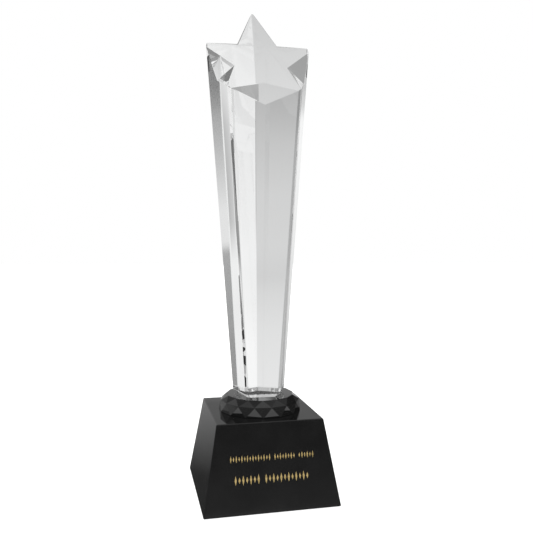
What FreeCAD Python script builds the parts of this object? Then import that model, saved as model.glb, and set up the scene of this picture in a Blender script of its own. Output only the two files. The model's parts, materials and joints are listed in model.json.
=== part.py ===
import FreeCAD, Part
import math
import os

# Free-standing crystal award, millimetres, +Z up, front towards -Y.
# A clear star tower is bonded to a black faceted collar, the collar to a
# black tapered pedestal, and the pedestal stands on a thin felt pad.

os.makedirs("parts", exist_ok=True)

# ---- Driving dimensions ----
film_thickness = 0.1          # every bond film

pad_side = 74.0               # felt pad under the pedestal
pad_corner = 3.0
pad_thickness = 1.0
pad_film_side = 73.0

base_bottom_side = 80.0       # pedestal
base_top_side = 63.2
base_height = 49.5
base_edge_chamfer = 0.4

ornament_depth = 0.3          # engraved recesses in the sloping front face
fill_thickness = 0.25         # gold fill, a little below the surface
upper_row_start = -24.0       # middle of the first lozenge
upper_row_height = 30.6       # centre of each row, measured up the slope
upper_row_pitch = 1.6
upper_row_count = 31
upper_row_gaps = (15, 24)     # places left empty, counted from 0
upper_row_tall = 4.2
upper_row_short = 2.8
upper_row_width = 0.9
lower_row_start = -21.5
lower_row_height = 19.0
lower_row_pitch = 2.2
lower_row_count = 20
lower_row_gaps = (7,)
lower_row_tall = 5.6
lower_row_short = 3.6
lower_row_width = 1.3

collar_facets = 15            # two rows of triangular facets round the collar
collar_turn = 5.0
collar_bottom_radius = 25.6
collar_belt_radius = 24.6
collar_top_radius = 20.8
collar_belt_height = 5.9
collar_height = 9.3
collar_film_radius = 24.0

tower_turn = -3.4             # the tower is bonded a little turned on its collar
foot_radius = 17.5            # to the sharp corners of the five-sided foot
front_lean = 1.25             # outward lean of each side face, degrees
side_lean = 3.75
back_lean = 3.85
ridge_flats = [2.2, 2.6, 1.2, 2.6, 2.2]   # width of the flat on each ridge
foot_chamfer = 2.0
blank_height = 270.0          # height of the blank before the top is cut

cut_height = 205.0            # slanting star face, above the foot on the axis
cut_angle = 49.5
front_notch_drop = 9.0        # how far each notch runs out below its two tips
side_notch_drop = 9.0
back_notch_drop = 13.6
back_notch_share = 0.65       # back notches run out nearer the back tip
upper_inner_x = 12.8          # inner corners of the star, seen from above
upper_inner_y = 12.1
side_inner_x = 16.3
side_inner_y = -2.8
front_inner_y = -13.9

# ---- Levels of the stack ----
base_z = pad_thickness + film_thickness
collar_z = base_z + base_height + film_thickness
tower_z = collar_z + collar_height + film_thickness


def save(shape, name):
    """Check one finished piece and write it as its own STEP file."""
    shape = shape.removeSplitter()
    if not shape.isValid():
        raise RuntimeError(name + " is not a valid shape")
    shape.exportStep("parts/" + name + ".step")


def polygon_face(points):
    """Flat face through the points, in order."""
    return Part.Face(Part.makePolygon(points + [points[0]]))


def solid_from(faces):
    """Closed solid from faces that meet along their edges."""
    shell = Part.makeShell(faces)
    shell.sewShape()
    if Part.makeSolid(shell).Volume < 0:
        shell = shell.reversed()
    return Part.makeSolid(shell)


def ring(radius, height, count, start):
    """Evenly spaced points on a level circle; start is in degrees."""
    points = []
    for i in range(count):
        angle = math.radians(start + 360.0 * i / count)
        x = radius * math.cos(angle)
        y = radius * math.sin(angle)
        points.append(FreeCAD.Vector(x, y, height))
    return points


def stack_of_sections(sections):
    """Solid whose flat sides join closed sections with equal point counts."""
    faces = [polygon_face(sections[0]), polygon_face(sections[-1])]
    count = len(sections[0])
    for low, high in zip(sections, sections[1:]):
        for i in range(count):
            j = (i + 1) % count
            faces.append(polygon_face([low[i], low[j], high[j], high[i]]))
    return solid_from(faces)


# ---- Felt pad and its film ----
pad = Part.makeBox(pad_side, pad_side, pad_thickness)
pad.translate(FreeCAD.Vector(-pad_side / 2.0, -pad_side / 2.0, 0))
upright = [e for e in pad.Edges if abs(e.BoundBox.ZLength - pad_thickness) < 1e-6]
pad = pad.makeFillet(pad_corner, upright)
save(pad, "felt_pad")

pad_film = Part.makeBox(pad_film_side, pad_film_side, film_thickness)
pad_film.translate(
    FreeCAD.Vector(-pad_film_side / 2.0, -pad_film_side / 2.0, pad_thickness)
)
upright = [e for e in pad_film.Edges if abs(e.BoundBox.ZLength - film_thickness) < 1e-6]
pad_film = pad_film.makeFillet(pad_corner, upright)
save(pad_film, "pad_adhesive")

# ---- Pedestal ----
base_top_z = base_z + base_height
low = base_bottom_side / 2.0
high = base_top_side / 2.0
pedestal = Part.makeWedge(
    -low, 0.0, -low, -high, -high, low, base_height, low, high, high
)
pedestal = pedestal.makeChamfer(base_edge_chamfer, pedestal.Edges)
pedestal.rotate(FreeCAD.Vector(0, 0, 0), FreeCAD.Vector(1, 0, 0), 90.0)
pedestal.translate(FreeCAD.Vector(0, 0, base_z))

# The ornament is laid out on a flat sheet (x across, y up the slope, z out of
# the face) and then turned onto the sloping front face.
setback = (base_bottom_side - base_top_side) / 2.0
slope_from_level = math.degrees(math.atan2(base_height, setback))
face_foot = FreeCAD.Vector(0, -base_bottom_side / 2.0, base_z)


def onto_front_face(shape):
    """Turn a shape from the layout sheet onto the front of the pedestal."""
    shape = shape.copy()
    shape.rotate(FreeCAD.Vector(0, 0, 0), FreeCAD.Vector(1, 0, 0), slope_from_level)
    shape.translate(face_foot)
    return shape


def lozenge(x, y, width, height, z_low, z_high):
    """Upright lozenge prism on the layout sheet."""
    points = [
        FreeCAD.Vector(x - width / 2.0, y, z_low),
        FreeCAD.Vector(x, y - height / 2.0, z_low),
        FreeCAD.Vector(x + width / 2.0, y, z_low),
        FreeCAD.Vector(x, y + height / 2.0, z_low),
    ]
    return polygon_face(points).extrude(FreeCAD.Vector(0, 0, z_high - z_low))


def ornament_row(start, centre, pitch, count, gaps, width, tall, short, z_low, z_high):
    """Row of lozenges, alternately tall and short, with some places empty."""
    solids = []
    for i in range(count):
        if i in gaps:
            continue
        x = start + i * pitch
        height = short if i % 2 else tall
        item = lozenge(x, centre, width, height, z_low, z_high)
        solids.append(onto_front_face(item))
    return solids


rows = {
    "engraving_fill_upper": (
        upper_row_start,
        upper_row_height,
        upper_row_pitch,
        upper_row_count,
        upper_row_gaps,
        upper_row_width,
        upper_row_tall,
        upper_row_short,
    ),
    "engraving_fill_lower": (
        lower_row_start,
        lower_row_height,
        lower_row_pitch,
        lower_row_count,
        lower_row_gaps,
        lower_row_width,
        lower_row_tall,
        lower_row_short,
    ),
}
fill_top = fill_thickness - ornament_depth
for name, layout in rows.items():
    for recess in ornament_row(*layout, -ornament_depth, 1.0):
        pedestal = pedestal.cut(recess)
    fills = ornament_row(*layout, -ornament_depth, fill_top)
    save(Part.makeCompound(fills), name)
save(pedestal, "pedestal_base")

# ---- Faceted collar and the film under it ----
collar_film = Part.makeCylinder(
    collar_film_radius, film_thickness, FreeCAD.Vector(0, 0, base_top_z)
)
save(collar_film, "collar_adhesive")

facet_step = 360.0 / collar_facets
front_vertex = 270.0 + collar_turn
bottom_rim = ring(
    collar_bottom_radius, collar_z, collar_facets, front_vertex - facet_step / 2.0
)
belt = ring(
    collar_belt_radius, collar_z + collar_belt_height, collar_facets, front_vertex
)
top_rim = ring(
    collar_top_radius,
    collar_z + collar_height,
    collar_facets,
    front_vertex - facet_step / 2.0,
)
collar_faces = [polygon_face(bottom_rim), polygon_face(top_rim)]
for i in range(collar_facets):
    j = (i + 1) % collar_facets
    for rim in (bottom_rim, top_rim):
        collar_faces.append(polygon_face([rim[i], rim[j], belt[i]]))
        collar_faces.append(polygon_face([belt[i], rim[j], belt[j]]))
save(solid_from(collar_faces), "faceted_collar")

# ---- Star tower ----
# Side faces, going round: front, right, back right, back left, left.
face_angles = [270.0, 342.0, 54.0, 126.0, 198.0]
face_leans = [front_lean, side_lean, back_lean, back_lean, side_lean]
notch_drops = [
    front_notch_drop,
    side_notch_drop,
    back_notch_drop,
    back_notch_drop,
    side_notch_drop,
]
# Where each notch runs out on the line from its first tip to its second.
notch_shares = [0.5, 0.5, back_notch_share, 1.0 - back_notch_share, 0.5]
apothem = foot_radius * math.cos(math.radians(36.0))


def face_distance(index, height):
    """Distance of a side face from the axis at a height above the foot."""
    return apothem + height * math.tan(math.radians(face_leans[index % 5]))


def sharp_ridge(index, height):
    """Meeting point of side face index and the next one, seen from above."""
    a = math.radians(face_angles[index % 5])
    b = math.radians(face_angles[(index + 1) % 5])
    da = face_distance(index, height)
    db = face_distance(index + 1, height)
    turn = math.sin(b - a)
    x = (da * math.sin(b) - db * math.sin(a)) / turn
    y = (db * math.cos(a) - da * math.cos(b)) / turn
    return FreeCAD.Vector(x, y, height)


def flat_corners(index, height):
    """Two corners of the flat on ridge index, in going-round order."""
    point = sharp_ridge(index, height)
    back_off = ridge_flats[index % 5] / 2.0 / math.sin(math.radians(54.0))
    a = math.radians(face_angles[index % 5] + 90.0)
    b = math.radians(face_angles[(index + 1) % 5] + 90.0)
    along_a = FreeCAD.Vector(math.cos(a), math.sin(a), 0)
    along_b = FreeCAD.Vector(math.cos(b), math.sin(b), 0)
    return [point - along_a * back_off, point + along_b * back_off]


def tower_section(height):
    """Ten-cornered cross-section of the tower blank."""
    corners = []
    for index in range(5):
        corners += flat_corners(index, height)
    return corners


foot = []
inset = (apothem - foot_chamfer) / apothem
for corner in tower_section(0.0):
    foot.append(FreeCAD.Vector(corner.x * inset, corner.y * inset, 0))
tower = stack_of_sections(
    [foot, tower_section(foot_chamfer), tower_section(blank_height)]
)

# Slanting star face: everything above the plane is cut away.
cutter = Part.makeBox(400, 400, 400, FreeCAD.Vector(-200, -200, 0))
cutter.rotate(FreeCAD.Vector(0, 0, 0), FreeCAD.Vector(1, 0, 0), cut_angle)
cutter.translate(FreeCAD.Vector(0, 0, cut_height))
tower = tower.cut(cutter)

cut_slope = math.tan(math.radians(cut_angle))


def on_star_face(x, y):
    """Point of the star face above a plan position."""
    return FreeCAD.Vector(x, y, cut_height + cut_slope * y)


def tip_corners(index):
    """The two corners of a ridge flat where it meets the star face."""
    low = flat_corners(index, 0.0)
    high = flat_corners(index, blank_height)
    corners = []
    for a, b in zip(low, high):
        gap_low = a.z - on_star_face(a.x, a.y).z
        gap_high = b.z - on_star_face(b.x, b.y).z
        t = gap_low / (gap_low - gap_high)
        corners.append(a + (b - a) * t)
    return corners


# Inner corners of the star, one for each side face, in the same order.
inner_corners = [
    on_star_face(0.0, front_inner_y),
    on_star_face(side_inner_x, side_inner_y),
    on_star_face(upper_inner_x, upper_inner_y),
    on_star_face(-upper_inner_x, upper_inner_y),
    on_star_face(-side_inner_x, side_inner_y),
]

for face in range(5):
    tip_before = tip_corners((face + 4) % 5)[1]
    tip_after = tip_corners(face)[0]
    inner = inner_corners[face]
    # The groove starts at the inner corner and runs out on the side face,
    # below the line between the two tips.
    between = tip_before + (tip_after - tip_before) * notch_shares[face]
    run_out_z = between.z - notch_drops[face]
    angle = math.radians(face_angles[face])
    outward = FreeCAD.Vector(math.cos(angle), math.sin(angle), 0)
    reach = face_distance(face, run_out_z) - between.dot(outward)
    run_out = between + outward * reach
    run_out.z = run_out_z
    groove = inner - run_out
    groove.normalize()
    # Wedge whose edge is the groove and whose two sides pass through the tips.
    low_end = run_out - groove * 30.0
    wings = []
    for tip in (tip_before, tip_after):
        to_tip = tip - run_out
        across = to_tip - groove * to_tip.dot(groove)
        wings.append(low_end + across * 3.0)
    wedge = polygon_face([low_end, wings[0], wings[1]]).extrude(groove * 140.0)
    tower = tower.cut(wedge)

turn_axis = FreeCAD.Vector(0, 0, 1)
tower.rotate(FreeCAD.Vector(0, 0, 0), turn_axis, tower_turn)
tower.translate(FreeCAD.Vector(0, 0, tower_z))
save(tower, "star_tower")

# ---- Film under the tower ----
film_outline = []
for corner in foot:
    film_outline.append(FreeCAD.Vector(corner.x * 0.97, corner.y * 0.97, 0))
tower_film = polygon_face(film_outline).extrude(FreeCAD.Vector(0, 0, film_thickness))
tower_film.rotate(FreeCAD.Vector(0, 0, 0), turn_axis, tower_turn)
tower_film.translate(FreeCAD.Vector(0, 0, tower_z - film_thickness))
save(tower_film, "tower_adhesive")
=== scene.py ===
import json
import math

import bmesh
import bpy
from mathutils import Matrix, Vector

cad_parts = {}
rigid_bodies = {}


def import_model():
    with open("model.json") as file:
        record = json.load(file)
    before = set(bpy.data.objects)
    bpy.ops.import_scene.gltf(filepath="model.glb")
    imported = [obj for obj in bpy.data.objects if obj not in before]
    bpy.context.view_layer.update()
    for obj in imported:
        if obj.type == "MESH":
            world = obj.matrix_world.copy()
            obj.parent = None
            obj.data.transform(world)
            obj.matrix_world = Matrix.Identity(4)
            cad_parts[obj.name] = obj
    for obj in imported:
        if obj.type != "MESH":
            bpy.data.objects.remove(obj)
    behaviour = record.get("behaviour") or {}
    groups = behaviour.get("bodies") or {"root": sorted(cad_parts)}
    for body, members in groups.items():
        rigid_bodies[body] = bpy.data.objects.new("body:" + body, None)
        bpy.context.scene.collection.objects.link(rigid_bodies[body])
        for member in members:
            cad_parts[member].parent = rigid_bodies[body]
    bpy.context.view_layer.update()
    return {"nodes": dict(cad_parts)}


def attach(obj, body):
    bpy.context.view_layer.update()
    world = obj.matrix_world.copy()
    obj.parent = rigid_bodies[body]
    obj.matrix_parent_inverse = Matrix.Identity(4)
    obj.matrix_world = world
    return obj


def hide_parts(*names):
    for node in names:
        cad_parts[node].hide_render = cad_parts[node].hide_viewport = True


for stray in list(bpy.data.objects):
    bpy.data.objects.remove(stray)

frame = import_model()
nodes = frame["nodes"]
scene = bpy.context.scene
MM = 0.001


# ---------------------------------------------------------------- camera
# Fitted to the pedestal's corners, the collar's facets and the tower's ridges.
SENSOR_WIDTH = 36.0  # mm
LENS = 40.0  # mm
VIEW_AZIMUTH = -12.77  # degrees from the front, - towards -X
VIEW_PITCH = 1.53  # degrees above level
VIEW_ROLL = 0.16  # degrees
VIEW_TARGET = Vector((4.2 * MM, 0.0, 139.0 * MM))
VIEW_DISTANCE = 370.0  # mm
CLIP_NEAR = 10.0 * MM
CLIP_FAR = 20.0  # metres


def make_camera():
    """Level with the award's middle, a little to the viewer's left."""
    data = bpy.data.cameras.new("camera")
    data.sensor_width = SENSOR_WIDTH
    data.lens = LENS
    data.clip_start = CLIP_NEAR
    data.clip_end = CLIP_FAR
    camera = bpy.data.objects.new("camera", data)
    scene.collection.objects.link(camera)
    azimuth = math.radians(VIEW_AZIMUTH)
    pitch = math.radians(VIEW_PITCH)
    back = Vector(
        (
            math.sin(azimuth) * math.cos(pitch),
            -math.cos(azimuth) * math.cos(pitch),
            math.sin(pitch),
        )
    )
    place = Matrix.Translation(VIEW_TARGET + back * VIEW_DISTANCE * MM)
    turn = (-back).to_track_quat("-Z", "Y").to_matrix().to_4x4()
    roll = Matrix.Rotation(math.radians(VIEW_ROLL), 4, "Z")
    camera.matrix_world = place @ turn @ roll
    scene.camera = camera


# ---------------------------------------------------------------- nodes
def new_material(name):
    """Empty node material with a Principled shader and an output."""
    material = bpy.data.materials.new(name)
    material.use_nodes = True
    tree = material.node_tree
    tree.nodes.clear()
    output = tree.nodes.new("ShaderNodeOutputMaterial")
    shader = tree.nodes.new("ShaderNodeBsdfPrincipled")
    tree.links.new(shader.outputs["BSDF"], output.inputs["Surface"])
    return material, tree, shader


def noise(tree, scale, detail, stretch=(1.0, 1.0, 1.0)):
    """Object-space noise; scale is in cycles per metre."""
    coords = tree.nodes.new("ShaderNodeTexCoord")
    mapping = tree.nodes.new("ShaderNodeMapping")
    mapping.inputs["Scale"].default_value = stretch
    texture = tree.nodes.new("ShaderNodeTexNoise")
    texture.inputs["Scale"].default_value = scale
    texture.inputs["Detail"].default_value = detail
    tree.links.new(coords.outputs["Object"], mapping.inputs["Vector"])
    tree.links.new(mapping.outputs["Vector"], texture.inputs["Vector"])
    return texture.outputs["Fac"]


def ramp(tree, value, stops):
    """Colour ramp with (position, grey or colour) stops."""
    node = tree.nodes.new("ShaderNodeValToRGB")
    elements = node.color_ramp.elements
    elements.remove(elements[-1])
    for index, (position, colour) in enumerate(stops):
        element = elements.new(position) if index else elements[0]
        element.position = position
        if isinstance(colour, float):
            colour = (colour, colour, colour)
        element.color = (*colour, 1.0)
    tree.links.new(value, node.inputs["Fac"])
    return node.outputs["Color"]


def bump(tree, value, distance):
    """Bump node; distance in metres."""
    node = tree.nodes.new("ShaderNodeBump")
    node.inputs["Distance"].default_value = distance
    tree.links.new(value, node.inputs["Height"])
    return node.outputs["Normal"]


def math_node(tree, operation, *values):
    """Math node on sockets or numbers."""
    node = tree.nodes.new("ShaderNodeMath")
    node.operation = operation
    for slot, value in zip(node.inputs, values):
        if isinstance(value, (int, float)):
            slot.default_value = value
        else:
            tree.links.new(value, slot)
    return node.outputs[0]


def smooth(tree, value, low, high):
    """0 below low, 1 above high, smooth between."""
    node = tree.nodes.new("ShaderNodeMapRange")
    node.interpolation_type = "SMOOTHSTEP"
    tree.links.new(value, node.inputs["Value"])
    node.inputs["From Min"].default_value = low
    node.inputs["From Max"].default_value = high
    return node.outputs["Result"]


def blend(tree, factor, first, second):
    """Colour mix: first where the factor is 0, second where it is 1."""
    node = tree.nodes.new("ShaderNodeMixRGB")
    for slot, value in zip(node.inputs, (factor, first, second)):
        tree.links.new(value, slot)
    return node.outputs[0]


# ---------------------------------------------------------------- materials
# Refractive indices. Only the pedestal's is optical crystal's usual one. The
# others are set so that the tower's puts its clean strips and thin dark line
# where the photo has them, and the collar's makes its facets bright enough.
# The bond's is near 1 because the film lies inside the tower's lowered foot,
# where its surfaces would bend the view a second time.
CLEAR_INDEX = 1.42
BOND_INDEX = 1.05
PEDESTAL_INDEX = 1.52
COLLAR_INDEX = 1.66


def clear_crystal():
    """Optical crystal: polished faces with a trace of wipe marks."""
    material, tree, shader = new_material("clear_crystal")
    shader.inputs["Base Color"].default_value = (0.985, 0.99, 0.99, 1.0)
    shader.inputs["Transmission Weight"].default_value = 1.0
    shader.inputs["IOR"].default_value = CLEAR_INDEX
    marks = noise(tree, scale=160.0, detail=4.0, stretch=(1.0, 1.0, 0.35))
    rough = ramp(tree, marks, [(0.35, 0.0), (0.62, 0.004), (0.8, 0.012)])
    tree.links.new(rough, shader.inputs["Roughness"])
    return material


def black_crystal(name, index):
    """Solid black crystal, polished, with faint dust and wipe marks."""
    material, tree, shader = new_material(name)
    dust = noise(tree, scale=90.0, detail=4.0)
    tone = ramp(tree, dust, [(0.3, 0.003), (0.7, 0.006)])
    tree.links.new(tone, shader.inputs["Base Color"])
    shader.inputs["IOR"].default_value = index
    marks = noise(tree, scale=240.0, detail=5.0)
    rough = ramp(tree, marks, [(0.35, 0.01), (0.75, 0.035)])
    tree.links.new(rough, shader.inputs["Roughness"])
    return material


def gold_fill(name):
    """Gold lacquer wiped into the engraving: grainy and slightly metallic."""
    material, tree, shader = new_material(name)
    dull = (0.42, 0.3, 0.1)
    bright = (0.66, 0.5, 0.22)
    flakes = noise(tree, scale=1500.0, detail=3.0)
    tone = ramp(tree, flakes, [(0.3, dull), (0.7, bright)])
    tree.links.new(tone, shader.inputs["Base Color"])
    shader.inputs["Metallic"].default_value = 0.35
    wiping = noise(tree, scale=2500.0, detail=2.0)
    rough = ramp(tree, wiping, [(0.3, 0.3), (0.7, 0.5)])
    tree.links.new(rough, shader.inputs["Roughness"])
    grain = bump(tree, noise(tree, scale=3000.0, detail=2.0), 0.05 * MM)
    tree.links.new(grain, shader.inputs["Normal"])
    return material


def felt():
    """Black needle felt."""
    material, tree, shader = new_material("black_felt")
    clumps = noise(tree, scale=1800.0, detail=5.0)
    tone = ramp(tree, clumps, [(0.3, 0.008), (0.7, 0.03)])
    tree.links.new(tone, shader.inputs["Base Color"])
    shader.inputs["Roughness"].default_value = 0.95
    shader.inputs["Sheen Weight"].default_value = 0.4
    fibres = bump(tree, noise(tree, scale=2600.0, detail=5.0), 0.3 * MM)
    tree.links.new(fibres, shader.inputs["Normal"])
    return material


def bond(name, low, high, roughness):
    """Cured adhesive film, slightly uneven."""
    material, tree, shader = new_material(name)
    unevenness = noise(tree, scale=700.0, detail=3.0)
    tone = ramp(tree, unevenness, [(0.3, low), (0.7, high)])
    tree.links.new(tone, shader.inputs["Base Color"])
    shader.inputs["Roughness"].default_value = roughness
    return material


def clear_bond():
    """Clear film that hardly bends light: see the indices above."""
    material, tree, shader = new_material("clear_bond")
    shader.inputs["Base Color"].default_value = (0.97, 0.97, 0.97, 1.0)
    shader.inputs["Transmission Weight"].default_value = 1.0
    shader.inputs["IOR"].default_value = BOND_INDEX
    unevenness = noise(tree, scale=900.0, detail=2.0)
    rough = ramp(tree, unevenness, [(0.3, 0.0), (0.8, 0.02)])
    tree.links.new(rough, shader.inputs["Roughness"])
    return material


def dress(obj, material):
    """Give an object a single material."""
    obj.data.materials.clear()
    obj.data.materials.append(material)


# ---------------------------------------------------------------- pieces
TOWER_EDGE = 0.22 * MM  # width of the ground edges
COLLAR_EDGE = 0.12 * MM
# The visible tower's foot goes down through its 0.1 mm film and 0.05 mm into
# the collar. A ray inside the tower then meets the black collar itself, as it
# would across a real bond, and not a gap that mirrors it.
FOOT_DROP = 0.15 * MM
SAME_POINT = 0.001 * MM  # corners this close are one
SAME_LEVEL = 0.01 * MM  # corners this near the lowest belong to the foot
FLAT_ANGLE = math.radians(0.3)  # triangles this level are one facet
EDGE_ANGLE = math.radians(4.0)  # folds sharper than this are ground


def ground_copy(node, name, edge_width, drop_foot=0.0):
    """Copy of a CAD node with joined facets and softly ground edges."""
    mesh = bmesh.new()
    mesh.from_mesh(nodes[node].data)
    bmesh.ops.remove_doubles(mesh, verts=mesh.verts, dist=SAME_POINT)
    bmesh.ops.dissolve_limit(
        mesh, angle_limit=FLAT_ANGLE, verts=mesh.verts, edges=mesh.edges
    )
    if drop_foot:
        low = min(vertex.co.z for vertex in mesh.verts)
        for vertex in mesh.verts:
            if vertex.co.z < low + SAME_LEVEL:
                vertex.co.z -= drop_foot
    sharp = [
        edge for edge in mesh.edges if edge.calc_face_angle(0.0) > EDGE_ANGLE
    ]
    bmesh.ops.bevel(
        mesh,
        geom=sharp,
        offset=edge_width,
        offset_type="OFFSET",
        segments=1,
        profile=0.5,
        affect="EDGES",
        clamp_overlap=True,
    )
    bmesh.ops.recalc_face_normals(mesh, faces=mesh.faces)
    data = bpy.data.meshes.new(name)
    mesh.to_mesh(data)
    mesh.free()
    obj = bpy.data.objects.new(name, data)
    scene.collection.objects.link(obj)
    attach(obj, "root")
    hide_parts(node)
    return obj


# ---------------------------------------------------------------- studio
FLOOR_REACH = 6.0  # metres from the middle
FLOOR_GAP = 0.2 * MM  # below the felt pad
FLOOR_LIGHT = 4.0
FLOOR_LIGHT_SPREAD = 60.0  # degrees


def make_floor():
    """Plain pale floor, left out of mirrored and transmitted rays."""
    mesh = bmesh.new()
    bmesh.ops.create_grid(mesh, x_segments=2, y_segments=2, size=FLOOR_REACH)
    data = bpy.data.meshes.new("floor")
    mesh.to_mesh(data)
    mesh.free()
    floor = bpy.data.objects.new("floor", data)
    floor.location = (0, 0, -FLOOR_GAP)
    scene.collection.objects.link(floor)
    material, tree, shader = new_material("pale_floor")
    shader.inputs["Base Color"].default_value = (0.92, 0.92, 0.92, 1.0)
    shader.inputs["Roughness"].default_value = 0.9
    shader.inputs["Specular IOR Level"].default_value = 0.0
    dress(floor, material)
    floor.visible_glossy = False
    floor.visible_transmission = False


def make_floor_light():
    """Broad overhead light: no shadow, and not seen in any piece."""
    data = bpy.data.lights.new("floor_light", "SUN")
    data.energy = FLOOR_LIGHT
    data.angle = math.radians(FLOOR_LIGHT_SPREAD)
    data.use_shadow = False
    light = bpy.data.objects.new("floor_light", data)
    light.visible_glossy = False
    light.visible_transmission = False
    scene.collection.objects.link(light)


# The studio is not one plain light. It is plain white to the camera, and shows
# two different sets of grey tones to other rays, by the kind of ray. The tones
# were set so that each facet, seen from the camera above, comes out about as
# bright as in the photo. They say nothing of the real room.
#
# Each run is (height, tone). The height is the upward part of a ray's
# direction: -1 is straight down, 1 straight up.

# For rays that polished faces mirror, the clear crystal's own surface too, and
# for the soft light on matt faces: a table that is white in front and greyer
# elsewhere, a bright band low at the back, a narrower one high at the left, a
# dark right side, and a dim front that brightens overhead.
MIRROR_BACK = [
    (-0.3, 0.05),
    (-0.17, 0.46),
    (0.0, 0.8),
    (0.2, 1.0),
    (0.224, 0.5),
    (0.236, 0.48),
    (0.25, 0.34),
    (0.27, 0.36),
    (0.3, 0.33),
    (0.7, 0.25),
    (1.0, 0.12),
]
MIRROR_LEFT = [
    (-0.3, 0.05),
    (-0.17, 0.46),
    (0.1, 0.5),
    (0.18, 0.52),
    (0.32, 0.36),
    (0.56, 0.2),
    (0.62, 0.62),
    (0.7, 0.62),
    (0.78, 0.28),
    (1.0, 0.12),
]
MIRROR_RIGHT = [
    (-0.3, 0.1),
    (-0.14, 0.19),
    (0.0, 0.1),
    (0.5, 0.03),
    (0.74, 0.26),
    (1.0, 0.12),
]
MIRROR_FRONT = [
    (-0.3, 1.0),
    (-0.115, 1.0),
    (-0.1, 0.6),
    (-0.085, 0.3),
    (0.0, 0.19),
    (0.1, 0.15),
    (0.25, 0.26),
    (0.5, 0.2),
    (0.8, 0.5),
    (0.95, 0.75),
    (1.0, 0.6),
]

# For rays that have gone through clear crystal: the studio is split into
# sectors, each with its own run.
CLEAR_FRONT = [
    (-0.8, 0.9),
    (-0.7, 0.2),
    (-0.35, 0.2),
    (-0.28, 0.8),
    (0.5, 0.9),
    (0.75, 0.45),
]
CLEAR_LEFT = [
    (-0.5, 0.9),
    (-0.35, 0.4),
    (-0.12, 0.42),
    (0.0, 0.9),
    (0.38, 0.9),
    (0.43, 0.14),
    (0.75, 0.14),
    (0.85, 0.45),
]
CLEAR_BACK_LEFT = [
    (-0.3, 0.5),
    (0.1, 0.35),
    (0.38, 0.35),
    (0.45, 0.9),
    (0.65, 0.9),
    (0.8, 0.4),
]
CLEAR_BACK = [
    (-0.21, 0.8),
    (-0.09, 0.74),
    (0.0, 0.64),
    (0.05, 0.67),
    (0.14, 0.65),
    (0.22, 0.57),
    (0.31, 0.46),
    (0.5, 0.3),
    (0.65, 0.15),
]
CLEAR_BACK_RIGHT = [
    (0.05, 0.93),
    (0.12, 0.4),
    (0.28, 0.4),
    (0.36, 0.7),
    (0.65, 0.6),
]
CLEAR_NEAR_RIGHT = [
    (-0.1, 0.95),
    (-0.03, 0.88),
    (0.05, 0.92),
    (0.25, 0.88),
    (0.4, 0.8),
    (0.65, 0.4),
]
CLEAR_RIGHT = [
    (-0.3, 0.35),
    (0.0, 0.25),
    (0.16, 0.32),
    (0.175, 0.8),
    (0.23, 0.8),
    (0.27, 0.65),
    (0.34, 0.4),
    (0.38, 0.3),
    (0.4, 0.18),
    (0.43, 0.04),
]

# Each sector's run, and where it fades in over the one before it, going round
# from the front by the left. In degrees from the back, + to the right.
SECTORS = [
    (-150.0, -125.0, CLEAR_LEFT),
    (-48.0, -34.0, CLEAR_BACK_LEFT),
    (-14.0, -11.5, CLEAR_BACK),
    (17.0, 22.0, CLEAR_BACK_RIGHT),
    (33.0, 34.5, CLEAR_NEAR_RIGHT),
    (76.0, 86.0, CLEAR_RIGHT),
]
RIGHT_TO_FRONT = (140.0, 150.0)


# Where the mirrored sides fade into each other, by a ray's sideways part (x)
# and its backward part (y).
LEFT_TO_BACK = (-0.16, 0.0)
BACK_TO_RIGHT = (0.46, 0.54)
FRONT_TO_REST = (-0.2, 0.1)


def by_height(tree, z, stops):
    """Tone of one run at a ray's upward part, -1 to 1."""
    place = math_node(tree, "MULTIPLY_ADD", z, 0.5, 0.5)
    places = [(0.5 + 0.5 * height, tone) for height, tone in stops]
    return ramp(tree, place, places)


def mirror_tones(tree, x, y, z):
    """Tones for every ray but the camera's and the transmitted ones."""
    front, back, left, right = (
        by_height(tree, z, stops)
        for stops in (MIRROR_FRONT, MIRROR_BACK, MIRROR_LEFT, MIRROR_RIGHT)
    )
    tones = blend(tree, smooth(tree, x, *LEFT_TO_BACK), left, back)
    tones = blend(tree, smooth(tree, x, *BACK_TO_RIGHT), tones, right)
    return blend(tree, smooth(tree, y, *FRONT_TO_REST), front, tones)


def clear_tones(tree, x, y, z):
    """Tones for rays that have gone through clear crystal."""
    azimuth = math_node(
        tree, "MULTIPLY", math_node(tree, "ARCTAN2", x, y), math.degrees(1.0)
    )
    front = by_height(tree, z, CLEAR_FRONT)
    tones = front
    for start, end, stops in SECTORS:
        sector = by_height(tree, z, stops)
        tones = blend(tree, smooth(tree, azimuth, start, end), tones, sector)
    return blend(tree, smooth(tree, azimuth, *RIGHT_TO_FRONT), tones, front)


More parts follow.
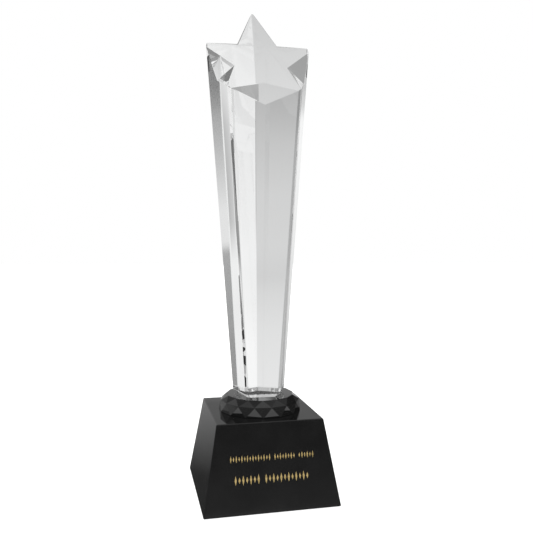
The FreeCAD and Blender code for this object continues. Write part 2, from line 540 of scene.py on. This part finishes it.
def make_world():
    """White to the camera, and grey tones by the kind of ray to the rest."""
    world = bpy.data.worlds.new("studio")
    world.use_nodes = True
    tree = world.node_tree
    tree.nodes.clear()
    output = tree.nodes.new("ShaderNodeOutputWorld")
    coords = tree.nodes.new("ShaderNodeTexCoord")
    parts = tree.nodes.new("ShaderNodeSeparateXYZ")
    tree.links.new(coords.outputs["Generated"], parts.inputs[0])
    x, y, z = parts.outputs

    path = tree.nodes.new("ShaderNodeLightPath")
    studio = tree.nodes.new("ShaderNodeBackground")
    tones = blend(
        tree,
        path.outputs["Is Transmission Ray"],
        mirror_tones(tree, x, y, z),
        clear_tones(tree, x, y, z),
    )
    tree.links.new(tones, studio.inputs["Color"])
    plain = tree.nodes.new("ShaderNodeBackground")
    plain.inputs["Color"].default_value = (1, 1, 1, 1)
    mix = tree.nodes.new("ShaderNodeMixShader")
    tree.links.new(path.outputs["Is Camera Ray"], mix.inputs[0])
    tree.links.new(studio.outputs[0], mix.inputs[1])
    tree.links.new(plain.outputs[0], mix.inputs[2])
    tree.links.new(mix.outputs[0], output.inputs["Surface"])
    scene.world = world


# ---------------------------------------------------------------- scene
make_camera()

tower = ground_copy(
    "star_tower", "crystal_tower", TOWER_EDGE, drop_foot=FOOT_DROP
)
dress(tower, clear_crystal())
collar = ground_copy("faceted_collar", "cut_collar", COLLAR_EDGE)
dress(collar, black_crystal("black_crystal_collar", COLLAR_INDEX))

pedestal_crystal = black_crystal("black_crystal_pedestal", PEDESTAL_INDEX)
dress(nodes["pedestal_base"], pedestal_crystal)
dress(nodes["engraving_fill_upper"], gold_fill("gold_fill_upper"))
dress(nodes["engraving_fill_lower"], gold_fill("gold_fill_lower"))
dress(nodes["felt_pad"], felt())
pad_film = bond("pad_film", low=0.2, high=0.3, roughness=0.5)
dress(nodes["pad_adhesive"], pad_film)
black_bond = bond("black_bond", low=0.005, high=0.015, roughness=0.2)
dress(nodes["collar_adhesive"], black_bond)
dress(nodes["tower_adhesive"], clear_bond())

make_floor()
make_floor_light()
make_world()

scene.view_settings.view_transform = "Standard"
scene.view_settings.look = "None"
# Many bounces, for the tower's inner reflections.
INNER_BOUNCES = 24
OTHER_BOUNCES = 16
scene.cycles.max_bounces = INNER_BOUNCES
scene.cycles.transmission_bounces = INNER_BOUNCES
scene.cycles.glossy_bounces = OTHER_BOUNCES
scene.cycles.transparent_max_bounces = OTHER_BOUNCES
